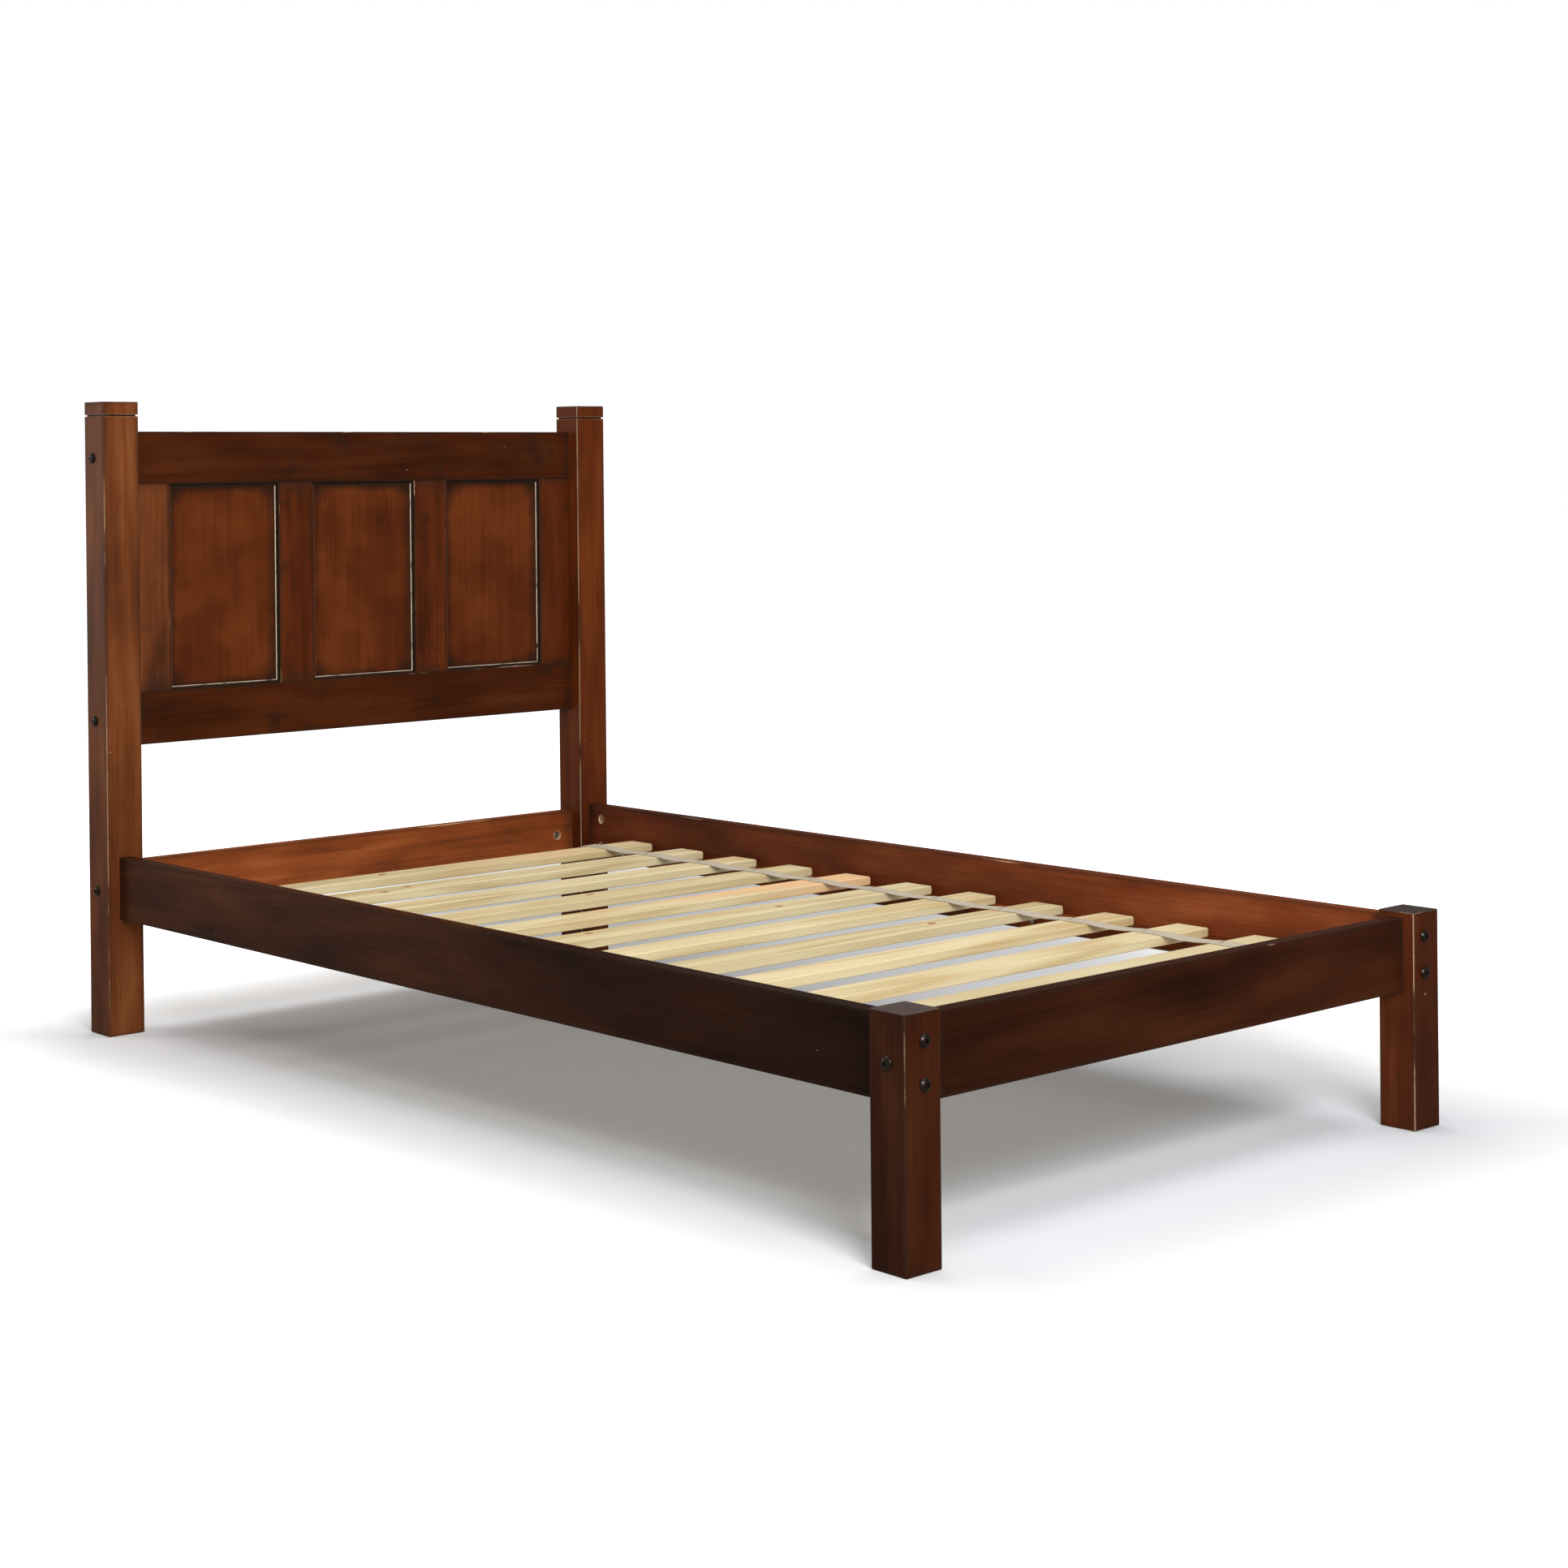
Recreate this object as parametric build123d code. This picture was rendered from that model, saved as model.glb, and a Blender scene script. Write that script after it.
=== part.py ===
from build123d import *
from dataclasses import dataclass
import math
import os

# A twin bed in stained wood: two tall head posts with a three-panel headboard between them,
# two low foot posts, bolt-on rails, and a roll of pine slats lying on ledges.
# Millimetres. X runs across the bed, +Y toward the head, +Z up. The origin is on the floor,
# under the middle of the bed. Left is -X and right is +X, seen from the foot.

# Overall sizes, over the posts
bed_width = 1092.0
bed_length = 2010.0
head_height = 1092.0
foot_height = 316.0

# Posts
head_post = 67.0
foot_post = 61.0
post_arris = 2.0
cap_height = 22.0  # from the top of a head post down to its kerf
kerf_height = 3.0
kerf_depth = 3.5

# Side rails and foot rail
rail_top = 307.0
rail_height = 107.0
rail_thickness = 24.0
side_setback = 22.0  # side rail's outer face, behind the posts' outer faces
foot_setback = 18.5  # foot rail's outer face, behind the foot posts' faces
board_arris = 1.5

# Headboard frame and the cross rail below it
frame_thickness = 22.0
frame_setback = 27.0  # front of the headboard, behind the head posts' faces
headboard_top = 1041.0
headboard_bottom = 495.0
head_rail_height = 92.0
stile_width = 73.0
mullion_width = 71.0
cross_rail_top = 295.0
cross_rail_height = 93.0

# Panels, the grooves that hold them, and the beads round them
panel_names = ["left", "centre", "right"]
panel_thickness = 7.0
panel_recess = 8.0  # from the frame's front face back to the panel's
groove_depth = 9.0
groove_clearance = 0.25  # on each side of a panel or a stub tenon
panel_gap = 2.0  # room at the sides and top of a groove for the panel to swell
bead_width = 6.0
bead_drop = 1.2  # front of a bead, behind the frame's face
bead_round = 4.0

# Furniture bolts and barrel nuts
bolt_diameter = 8.0
bolt_clearance = 0.4  # between a bolt and the hole that it passes through
bolt_head_diameter = 18.0
bolt_head_height = 5.0
bolt_flange = 1.2
bolt_flat = 5.4  # across the flat top of the dome
bolt_dome_rise = 1.0  # of the dome's arc above its chord
bolt_socket = 5.0  # across the flats
bolt_socket_depth = 3.0
bolt_past_nut = 7.5  # past the middle of the nut's hole
thread_clearance = 0.1
nut_diameter = 14.0
nut_arris = 0.8
nut_hole_diameter = 17.0
nut_inset = 38.0  # from the end of a rail to the middle of the nut's hole
nut_recess = 3.5  # below the face of the rail
nut_wall = 3.0  # wood left behind the nut's hole
nut_slot_width = 1.6
nut_slot_length = 8.4  # of the shorter arm of the cross
nut_slot_depth = 1.5
side_bolt_spread = 53.0  # between the two bolts at each end of a side rail

# Wooden dowels beside each single bolt
dowel_diameter = 8.0
dowel_depth = 15.0
dowel_spread = 58.0
dowel_clearance = 0.05

# Slats, and the ledges that they lie on
slat_drop = 57.0  # from the rails' top down to the slats'
slat_count = 11
slat_width = 60.0
slat_thickness = 15.0
slat_round = 2.0  # of the long edges
slat_end_round = 4.0  # of the top and bottom edges at the ends
slat_end_gap = 10.0  # between a slat's end and the side rail
slat_head_gap = 175.0  # between the cross rail and the first slat
slat_foot_gap = 187.5  # between the last slat and the foot rail
ledge_width = 28.0
ledge_height = 28.0
ledge_end_gap = 60.0
ledge_screw_count = 7
ledge_screw_end = 80.0  # from the end of a ledge to its first screw
screw_diameter = 4.0
screw_head_diameter = 8.0
screw_head_height = 2.6
screw_length = 42.0
screw_clearance = 0.05

# Webbing that ties the slats together, stapled to each of them
strap_width = 28.0
strap_thickness = 1.4
strap_offset = 391.0  # from the middle of the bed
strap_sag = 2.0
strap_lift_off = 1.2  # past the start of a slat's rounded edge
strap_tail = 14.0  # past the outer edges of the first and last slats
staple_crown = 11.0
staple_wire = 0.9
staple_leg = 9.0
staple_inset = 14.0  # from the slat's head-side edge

# Places worked out from the sizes
half_width = bed_width / 2
half_length = bed_length / 2
rail_bottom = rail_top - rail_height
rail_middle = rail_top - rail_height / 2
side_outer = half_width - side_setback
side_inner = side_outer - rail_thickness
side_middle = side_outer - rail_thickness / 2
foot_outer = -half_length + foot_setback
foot_inner = foot_outer + rail_thickness
foot_middle = foot_outer + rail_thickness / 2
head_face = half_length - head_post
frame_front = head_face + frame_setback
frame_back = frame_front + frame_thickness
frame_middle = frame_front + frame_thickness / 2
frame_half = half_width - head_post
cross_rail_middle = cross_rail_top - cross_rail_height / 2
panel_front = frame_front + panel_recess
opening_top = headboard_top - head_rail_height
opening_bottom = headboard_bottom + head_rail_height
opening_height = opening_top - opening_bottom
panel_count = len(panel_names)
opening_width = (2 * (frame_half - stile_width) - (panel_count - 1) * mullion_width) / panel_count
groove_width = panel_thickness + 2 * groove_clearance
groove_front = panel_front - groove_clearance
slat_top = rail_top - slat_drop
slat_bottom = slat_top - slat_thickness
slat_half = side_inner - slat_end_gap
slat_first = frame_front - slat_head_gap - slat_width / 2
slat_last = foot_inner + slat_foot_gap + slat_width / 2
slat_pitch = (slat_first - slat_last) / (slat_count - 1)
slat_places = [slat_first - i * slat_pitch for i in range(slat_count)]
sides = {"left": -1, "right": 1}


def opening_middle(index):
    """X of the middle of a panel, counted from the left."""
    return (index - (panel_count - 1) / 2) * (opening_width + mullion_width)


def span(x, y, z):
    """A plain block between three pairs of ends."""
    sizes = [abs(b - a) for a, b in (x, y, z)]
    middle = [(a + b) / 2 for a, b in (x, y, z)]
    return Pos(*middle) * Box(*sizes)


def eased(block, radius, axis=None):
    """Rounds a block's edges, all of them or those along one axis."""
    edges = block.edges().filter_by(axis) if axis else block.edges()
    return fillet(edges, radius)


def rod(diameter, start, way, length):
    """A round bar from a point along a direction."""
    return Plane(origin=start, z_dir=way) * Cylinder(
        diameter / 2, length, align=(Align.CENTER, Align.CENTER, Align.MIN)
    )


@dataclass
class Joint:
    """One bolt from a post's outer face into a rail's end, and its barrel nut."""

    seat: Vector  # where the bolt's head sits on the post
    way: Vector  # from the head into the rail
    post: float  # thickness of the post
    mouth: Vector  # out of the nut's hole
    cover: float  # from the bolt's axis to the face with the nut's hole
    board: float  # thickness of the rail

    def hole(self, clearance):
        """A hole along the bolt, from its head to past its end."""
        reach = self.post + nut_inset + nut_diameter
        return rod(bolt_diameter + 2 * clearance, self.seat, self.way, reach)

    def bolt_hole(self):
        return self.hole(bolt_clearance)

    def nut_hole(self):
        bottom = self.cover - self.board + nut_wall
        start = self.seat + self.way * (self.post + nut_inset) + self.mouth * bottom
        return rod(nut_hole_diameter, start, self.mouth, self.board)

    def nut_middle(self):
        """The tight bolt pulls the nut against the side of its hole that is nearer the post."""
        slack = (nut_hole_diameter - nut_diameter) / 2
        return self.seat + self.way * (self.post + nut_inset - slack)

    def nut(self):
        bottom = self.cover - self.board + nut_wall
        top = self.cover - nut_recess
        start = self.nut_middle() + self.mouth * bottom
        body = rod(nut_diameter, start, self.mouth, top - bottom)
        body = fillet(body.edges().filter_by(GeomType.CIRCLE), nut_arris)
        face = Plane(origin=self.nut_middle() + self.mouth * top, x_dir=self.way, z_dir=self.mouth)
        slots = Box(nut_diameter, nut_slot_width, 2 * nut_slot_depth)
        slots += Box(nut_slot_width, nut_slot_length, 2 * nut_slot_depth)
        return body - self.hole(thread_clearance) - face * slots

    def bolt(self):
        """A domed head with a hexagon socket, on a plain shank."""
        radius = bolt_head_diameter / 2
        rim = (radius, -bolt_flange)
        crown = (bolt_flat / 2, -bolt_head_height)
        shank_end = self.post + nut_inset + bolt_past_nut
        with BuildPart() as made:
            with BuildSketch(Plane.XZ):
                with BuildLine():
                    Polyline((0, -bolt_head_height), (0, 0), (radius, 0), rim)
                    SagittaArc(rim, crown, bolt_dome_rise)
                    Line(crown, (0, -bolt_head_height))
                make_face()
            revolve(axis=Axis.Z)
            with BuildSketch(Plane.XY.offset(-bolt_head_height)):
                RegularPolygon(bolt_socket / math.sqrt(3), 6)
            extrude(amount=bolt_socket_depth, mode=Mode.SUBTRACT)
            Cylinder(
                bolt_diameter / 2, shank_end, align=(Align.CENTER, Align.CENTER, Align.MIN)
            )
        return Plane(origin=self.seat, z_dir=self.way) * made.part


def cross_joints(y, z, post, mouth, board):
    """The pair of joints that hold a rail which runs across the bed."""
    return [
        Joint(Vector(s * half_width, y, z), Vector(-s, 0, 0), post, Vector(0, mouth, 0), board / 2, board)
        for s in sides.values()
    ]


def side_joints(side):
    """The four joints of one side rail, two at each end."""
    x = side * side_middle
    mouth = Vector(-side, 0, 0)
    found = []
    for dz in (side_bolt_spread / 2, -side_bolt_spread / 2):
        z = rail_middle + dz
        foot = (Vector(x, -half_length, z), Vector(0, 1, 0), foot_post)
        head = (Vector(x, half_length, z), Vector(0, -1, 0), head_post)
        for seat, way, post in (foot, head):
            found.append(Joint(seat, way, post, mouth, rail_thickness / 2, rail_thickness))
    return found


top_rail_z = headboard_top - head_rail_height / 2
bottom_rail_z = headboard_bottom + head_rail_height / 2
joints = {
    "headboard": cross_joints(frame_middle, top_rail_z, head_post, 1, frame_thickness)
    + cross_joints(frame_middle, bottom_rail_z, head_post, 1, frame_thickness),
    "cross_rail": cross_joints(frame_middle, cross_rail_middle, head_post, -1, frame_thickness),
    "foot_rail": cross_joints(foot_middle, rail_middle, foot_post, 1, rail_thickness),
    "side_rail": side_joints(-1) + side_joints(1),
}
all_joints = [joint for group in joints.values() for joint in group]


def dowel_places():
    """Where each dowel crosses the face between a post and a rail: the point, and the way into the rail."""
    rows = [
        (frame_middle, top_rail_z, head_post),
        (frame_middle, bottom_rail_z, head_post),
        (frame_middle, cross_rail_middle, head_post),
        (foot_middle, rail_middle, foot_post),
    ]
    for y, z, post in rows:
        for s in sides.values():
            for dz in (dowel_spread / 2, -dowel_spread / 2):
                yield Vector(s * (half_width - post), y, z + dz), Vector(-s, 0, 0)


def dowels(extra=0.0):
    """The dowels, or with extra width the holes for them."""
    return [
        rod(dowel_diameter + 2 * extra, place - way * dowel_depth, way, 2 * dowel_depth)
        for place, way in dowel_places()
    ]


def near(tool, piece):
    """Whether two boxes meet, so that only the cuts that matter are made."""
    a, b = tool.bounding_box(), piece.bounding_box()
    return all(
        low < high
        for low, high in (
            (a.min.X, b.max.X),
            (b.min.X, a.max.X),
            (a.min.Y, b.max.Y),
            (b.min.Y, a.max.Y),
            (a.min.Z, b.max.Z),
            (b.min.Z, a.max.Z),
        )
    )


def drilled(piece, tools):
    """Cuts each hole that reaches a piece."""
    for tool in tools:
        if near(tool, piece):
            piece -= tool
    return piece


bolt_holes = [joint.bolt_hole() for joint in all_joints]
nut_holes = [joint.nut_hole() for joint in all_joints]
dowel_holes = dowels(dowel_clearance)


def head_post_part(side):
    """A tall square post with a kerf sawn round it below its top."""
    x = (side * half_width, side * (half_width - head_post))
    post = eased(span(x, (head_face, half_length), (0, head_height)), post_arris)
    kerf_top = head_height - cap_height
    kerf_z = (kerf_top - kerf_height, kerf_top)
    middle = side * (half_width - head_post / 2)
    core = head_post / 2 - kerf_depth
    y_middle = half_length - head_post / 2
    around = span(
        (middle - head_post, middle + head_post), (y_middle - head_post, y_middle + head_post), kerf_z
    )
    neck = span((middle - core, middle + core), (y_middle - core, y_middle + core), kerf_z)
    return drilled(post - (around - neck), bolt_holes + dowel_holes)


def foot_post_part(side):
    x = (side * half_width, side * (half_width - foot_post))
    post = eased(span(x, (-half_length, -half_length + foot_post), (0, foot_height)), post_arris)
    return drilled(post, bolt_holes + dowel_holes)


def side_rail_part(side):
    y = (-half_length + foot_post, head_face)
    rail = span((side * side_inner, side * side_outer), y, (rail_bottom, rail_top))
    rail = eased(rail, board_arris, Axis.Y)
    return drilled(rail, bolt_holes + nut_holes + screws(side, screw_clearance))


def foot_rail_part():
    x = half_width - foot_post
    rail = span((-x, x), (foot_outer, foot_inner), (rail_bottom, rail_top))
    return drilled(eased(rail, board_arris, Axis.X), bolt_holes + nut_holes + dowel_holes)


def frame_rail_part(bottom, height):
    """A rail between the head posts, in line with the headboard."""
    rail = span((-frame_half, frame_half), (frame_front, frame_back), (bottom, bottom + height))
    return drilled(eased(rail, board_arris, Axis.X), bolt_holes + nut_holes + dowel_holes)


def headboard_rail_part(bottom, groove_z):
    """A headboard rail, grooved along one edge for the panels and the stub tenons."""
    rail = frame_rail_part(bottom, head_rail_height)
    groove_y = (groove_front, groove_front + groove_width)
    return rail - span((-frame_half, frame_half), groove_y, groove_z)


def upright_part(x, grooved):
    """A stile or a mullion, with a stub tenon at each end and a groove in each edge named."""
    body = span(x, (frame_front, frame_back), (opening_bottom, opening_top))
    body = eased(body, board_arris, Axis.Z)
    groove_y = (groove_front, groove_front + groove_width)
    for edge, inward in grooved:
        body -= span((edge, edge + inward * groove_depth), groove_y, (opening_bottom, opening_top))
    low, high = min(x), max(x)
    for edge, inward in grooved:
        low = low + groove_depth if inward > 0 else low
        high = high - groove_depth if inward < 0 else high
    tenon_y = (panel_front, panel_front + panel_thickness)
    tenon_z = (opening_bottom - groove_depth, opening_top + groove_depth)
    return body + span((low, high), tenon_y, tenon_z)


def stile_part(side):
    inner = side * (frame_half - stile_width)
    return upright_part((side * frame_half, inner), [(inner, side)])


def mullion_part(index):
    """The mullion to the right of a panel."""
    left = opening_middle(index) + opening_width / 2
    right = left + mullion_width
    return upright_part((left, right), [(left, 1), (right, -1)])


def panel_part(index):
    """A flat panel. It stands on the bottom of its groove, with room to swell elsewhere."""
    half = opening_width / 2 + groove_depth - panel_gap
    middle = opening_middle(index)
    z = (opening_bottom - groove_depth, opening_top + groove_depth - panel_gap)
    return span((middle - half, middle + half), (panel_front, panel_front + panel_thickness), z)


def bead_strip(length):
    """A bead that lies along X, from the edge of the opening at Z 0 inward, with mitred ends."""
    front, back = bead_drop, panel_recess
    section = Plane.YZ * make_face(
        Polyline((front, 0), (back, 0), (back, bead_width), (front + bead_round, bead_width))
        + RadiusArc((front + bead_round, bead_width), (front, bead_width - bead_round), bead_round)
        + Line((front, bead_width - bead_round), (front, 0))
    )
    strip = extrude(section, amount=length / 2, both=True)
    outline = Polyline(
        (-length / 2, 0),
        (length / 2, 0),
        (length / 2 - bead_width, bead_width),
        (-length / 2 + bead_width, bead_width),
        close=True,
    )
    mitres = extrude(Plane.XZ * make_face(outline), amount=2 * panel_recess, both=True)
    return strip & mitres


def bead_part(index):
    """Four mitred beads pinned round a panel."""
    middle = Vector(opening_middle(index), frame_front, (opening_bottom + opening_top) / 2)
    strips = []
    for turn in range(4):
        length, reach = (opening_width, opening_height) if turn % 2 == 0 else (opening_height, opening_width)
        strips.append(Pos(middle) * Rot(0, 90 * turn, 0) * Pos(0, 0, -reach / 2) * bead_strip(length))
    return strips


def ledge_part(side):
    """A batten screwed inside a side rail, for the slats to lie on."""
    y = (-half_length + foot_post + ledge_end_gap, head_face - ledge_end_gap)
    x = (side * side_inner, side * (side_inner - ledge_width))
    ledge = eased(span(x, y, (slat_bottom - ledge_height, slat_bottom)), board_arris, Axis.Y)
    return drilled(ledge, screws(side, screw_clearance))


def screws(side, extra=0.0):
    """The countersunk screws of one ledge, or with extra width the holes for them."""
    first = -half_length + foot_post + ledge_end_gap + ledge_screw_end
    last = head_face - ledge_end_gap - ledge_screw_end
    way = Vector(side, 0, 0)
    made = []
    for i in range(ledge_screw_count):
        y = first + (last - first) * i / (ledge_screw_count - 1)
        start = Vector(side * (side_inner - ledge_width), y, slat_bottom - ledge_height / 2)
        head = Plane(origin=start, z_dir=way) * Cone(
            screw_head_diameter / 2 + extra,
            screw_diameter / 2 + extra,
            screw_head_height,
            align=(Align.CENTER, Align.CENTER, Align.MIN),
        )
        made.append(head + rod(screw_diameter + 2 * extra, start, way, screw_length))
    return made


def staple(x, y):
    """A flat wire staple through the strap and into the slat."""
    top = slat_top + strap_thickness + staple_wire
    outer = staple_crown / 2
    inner = outer - staple_wire
    width = (y - staple_wire / 2, y + staple_wire / 2)
    crown = span((x - outer, x + outer), width, (top - staple_wire, top))
    for s in sides.values():
        crown += span((x + s * inner, x + s * outer), width, (top - staple_wire - staple_leg, top))
    return crown


def staples():
    return [
        staple(s * strap_offset, y + slat_width / 2 - staple_inset)
        for y in slat_places
        for s in sides.values()
    ]


def slat_part(y):
    """A pine slat with rounded edges, slotted by the legs of its staples."""
    width = (y - slat_width / 2, y + slat_width / 2)
    slat = span((-slat_half, slat_half), width, (slat_bottom, slat_top))
    slat = eased(slat, slat_end_round, Axis.Y)
    ends = slat.edges().filter_by(Axis.Y)
    slat = fillet(slat.edges() - ends, slat_round)
    return drilled(slat, staples())


def strap_part(side):
    """A webbing strap that lies on each slat and sags a little between them."""
    grip = slat_width / 2 - slat_round + strap_lift_off
    tail = slat_width / 2 + strap_tail
    landings = [slat_places[0] + tail] + [y + grip for y in slat_places[1:]]
    leavings = [y - grip for y in slat_places[:-1]] + [slat_places[-1] - tail]
    low = [Line((a, slat_top), (b, slat_top)) for a, b in zip(landings, leavings)]
    for a, b in zip(leavings, landings[1:]):
        low.append(ThreePointArc((a, slat_top), ((a + b) / 2, slat_top - strap_sag), (b, slat_top)))
    high = [Pos(0, strap_thickness) * edge for edge in low]
    ends = [
        Line((y, slat_top), (y, slat_top + strap_thickness))
        for y in (landings[0], leavings[-1])
    ]
    section = Plane.YZ * make_face(Curve() + low + high + ends)
    strap = extrude(section, amount=strap_width / 2, both=True)
    return drilled(Pos(side * strap_offset, 0, 0) * strap, staples())


def write(name, shapes):
    """Writes one node: a single solid, or a group of separate ones."""
    shapes = shapes if isinstance(shapes, list) else [shapes]
    solids = [solid for shape in shapes for solid in shape.solids()]
    node = solids[0] if len(solids) == 1 else Compound(children=solids)
    node.label = name
    export_step(node, f"parts/{name}.step")


def main():
    os.makedirs("parts", exist_ok=True)
    for name, side in sides.items():
        write(f"head_post_{name}", head_post_part(side))
        write(f"foot_post_{name}", foot_post_part(side))
        write(f"side_rail_{name}", side_rail_part(side))
        write(f"headboard_stile_{name}", stile_part(side))
        write(f"slat_ledge_{name}", ledge_part(side))
        write(f"ledge_screws_{name}", screws(side))
        write(f"slat_strap_{name}", strap_part(side))
    top_groove = (opening_top, opening_top + groove_depth)
    bottom_groove = (opening_bottom - groove_depth, opening_bottom)
    write("headboard_top_rail", headboard_rail_part(opening_top, top_groove))
    write("headboard_bottom_rail", headboard_rail_part(headboard_bottom, bottom_groove))
    write("head_cross_rail", frame_rail_part(cross_rail_top - cross_rail_height, cross_rail_height))
    write("foot_rail", foot_rail_part())
    for index, name in enumerate(panel_names):
        write(f"headboard_panel_{name}", panel_part(index))
        write(f"panel_bead_{name}", bead_part(index))
    for index in range(panel_count - 1):
        write(f"headboard_mullion_{index + 1}", mullion_part(index))
    for number, y in enumerate(slat_places, 1):
        write(f"slat_{number:02d}", slat_part(y))
    write("strap_staples", staples())
    write("locating_dowels", dowels())
    for group, members in joints.items():
        write(f"{group}_bolts", [joint.bolt() for joint in members])
        write(f"{group}_barrel_nuts", [joint.nut() for joint in members])


main()
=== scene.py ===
import math
import random

import bpy
from mathutils import Matrix, Vector


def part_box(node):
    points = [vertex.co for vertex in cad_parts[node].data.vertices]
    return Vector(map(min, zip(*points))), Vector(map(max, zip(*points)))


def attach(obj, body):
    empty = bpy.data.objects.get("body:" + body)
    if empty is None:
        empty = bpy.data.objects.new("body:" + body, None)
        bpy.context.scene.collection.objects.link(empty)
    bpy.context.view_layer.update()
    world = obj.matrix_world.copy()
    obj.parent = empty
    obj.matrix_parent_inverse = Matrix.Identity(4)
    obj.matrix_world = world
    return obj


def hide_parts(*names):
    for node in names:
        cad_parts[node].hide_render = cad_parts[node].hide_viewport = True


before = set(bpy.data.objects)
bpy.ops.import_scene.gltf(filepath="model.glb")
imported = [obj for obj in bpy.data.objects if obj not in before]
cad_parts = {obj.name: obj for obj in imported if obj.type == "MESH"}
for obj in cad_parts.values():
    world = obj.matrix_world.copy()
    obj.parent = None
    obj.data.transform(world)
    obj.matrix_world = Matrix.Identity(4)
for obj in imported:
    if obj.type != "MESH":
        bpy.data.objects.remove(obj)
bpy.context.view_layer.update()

# A twin bed frame in stained wood with pine slats. Metres, in the CAD model's own frame: X runs
# across the bed, +Y toward the head, +Z up, and the floor is at Z 0.

ACROSS, ALONG, UP = 0, 1, 2  # axes, named as the bed lies

# The camera, set back from the near corner of the foot
CAMERA_PLACE = (-2.827, -3.324, 0.970)
CAMERA_YAW = math.radians(42.12)  # from +Y toward +X
CAMERA_DIP = math.radians(0.27)
CAMERA_ROLL = math.radians(-0.56)
CAMERA_LENS = 62.8
CAMERA_SHIFT = -0.1946

# Details of the CAD model that its boxes don't give
NUT_INSET = 0.038  # from a rail's end to its barrel nut's hole
NUT_SPREAD = 0.053  # between the two nuts at each end of a side rail
NUT_HOLE_RADIUS = 0.0085
KERF_DROP = 0.022  # from the top of a head post down to its kerf
KERF_HEIGHT = 0.003
BEAD_WIDTH = 0.006
SLATS = 11


# ---------------------------------------------------------------- shader nodes


class Shader:
    """A material whose nodes are written as arithmetic on sockets and numbers."""

    def __init__(self, name):
        self.material = bpy.data.materials.new(name)
        self.material.use_nodes = True
        self.tree = self.material.node_tree
        self.tree.nodes.clear()
        self.surface = self.tree.nodes.new("ShaderNodeBsdfPrincipled")
        output = self.tree.nodes.new("ShaderNodeOutputMaterial")
        self.tree.links.new(self.surface.outputs[0], output.inputs[0])
        self.place = self.make("ShaderNodeTexCoord").outputs["Object"]

    def make(self, kind, inputs=(), **settings):
        node = self.tree.nodes.new(kind)
        for name, value in settings.items():
            setattr(node, name, value)
        for key, value in dict(inputs).items():
            self.put(node.inputs[key], value)
        return node

    def put(self, socket, value):
        if isinstance(value, bpy.types.NodeSocket):
            self.tree.links.new(value, socket)
        elif socket.type == "RGBA" and len(value) == 3:
            socket.default_value = (*value, 1)
        else:
            socket.default_value = value

    def set(self, **values):
        """Sets the surface's sockets, with _ in a name for a space."""
        for name, value in values.items():
            self.put(self.surface.inputs[name.replace("_", " ")], value)

    def math(self, operation, *values):
        node = self.make("ShaderNodeMath", operation=operation)
        for socket, value in zip(node.inputs, values):
            self.put(socket, value)
        return node.outputs[0]

    def vector(self, operation, *values):
        node = self.make("ShaderNodeVectorMath", operation=operation)
        sockets = (node.inputs[0], node.inputs["Scale"]) if operation == "SCALE" else node.inputs
        for socket, value in zip(sockets, values):
            self.put(socket, value)
        return node.outputs["Value" if operation == "LENGTH" else "Vector"]

    def split(self, vector):
        return list(self.make("ShaderNodeSeparateXYZ", {0: vector}).outputs)

    def join(self, x, y, z):
        return self.make("ShaderNodeCombineXYZ", {0: x, 1: y, 2: z}).outputs[0]

    def noise(self, where, scale, detail=2.0, roughness=0.5, distortion=0.0):
        inputs = {
            "Vector": where,
            "Scale": scale,
            "Detail": detail,
            "Roughness": roughness,
            "Distortion": distortion,
        }
        return self.make("ShaderNodeTexNoise", inputs).outputs[0]

    def step(self, value, start, end):
        """0 at start and 1 at end, smooth between. Start may be the larger."""
        inputs = {"Value": value, "From Min": start, "From Max": end}
        node = self.make("ShaderNodeMapRange", inputs, interpolation_type="SMOOTHSTEP")
        return node.outputs[0]

    def times(self, *values):
        made = values[0]
        for value in values[1:]:
            made = self.math("MULTIPLY", made, value)
        return made

    def plus(self, *values):
        made = values[0]
        for value in values[1:]:
            made = self.math("ADD", made, value)
        return made

    def swing(self, value, amount):
        """A noise's value about its middle, scaled."""
        return self.math("MULTIPLY", self.math("SUBTRACT", value, 0.5), amount)

    def mix(self, amount, a, b):
        node = self.make("ShaderNodeMix", data_type="RGBA")
        self.put(node.inputs[0], amount)
        self.put(node.inputs[6], a)
        self.put(node.inputs[7], b)
        return node.outputs[2]

    def ramp(self, value, *stops):
        """A colour from pairs of place and colour."""
        node = self.make("ShaderNodeValToRGB", {0: value})
        elements = node.color_ramp.elements
        while len(elements) < len(stops):
            elements.new(1.0)
        for element, (place, colour) in zip(elements, stops):
            element.position = place
            element.color = (*colour, 1)
        return node.outputs[0]

    def bump(self, height, distance):
        inputs = {"Height": height, "Distance": distance, "Strength": 1.0}
        self.put(self.surface.inputs["Normal"], self.make("ShaderNodeBump", inputs).outputs[0])


def give(piece, shader):
    piece.data.materials.clear()
    piece.data.materials.append(shader.material)


def scaled(colour, amount):
    return tuple(channel * amount for channel in colour)


# ---------------------------------------------------------------- wood


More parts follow.
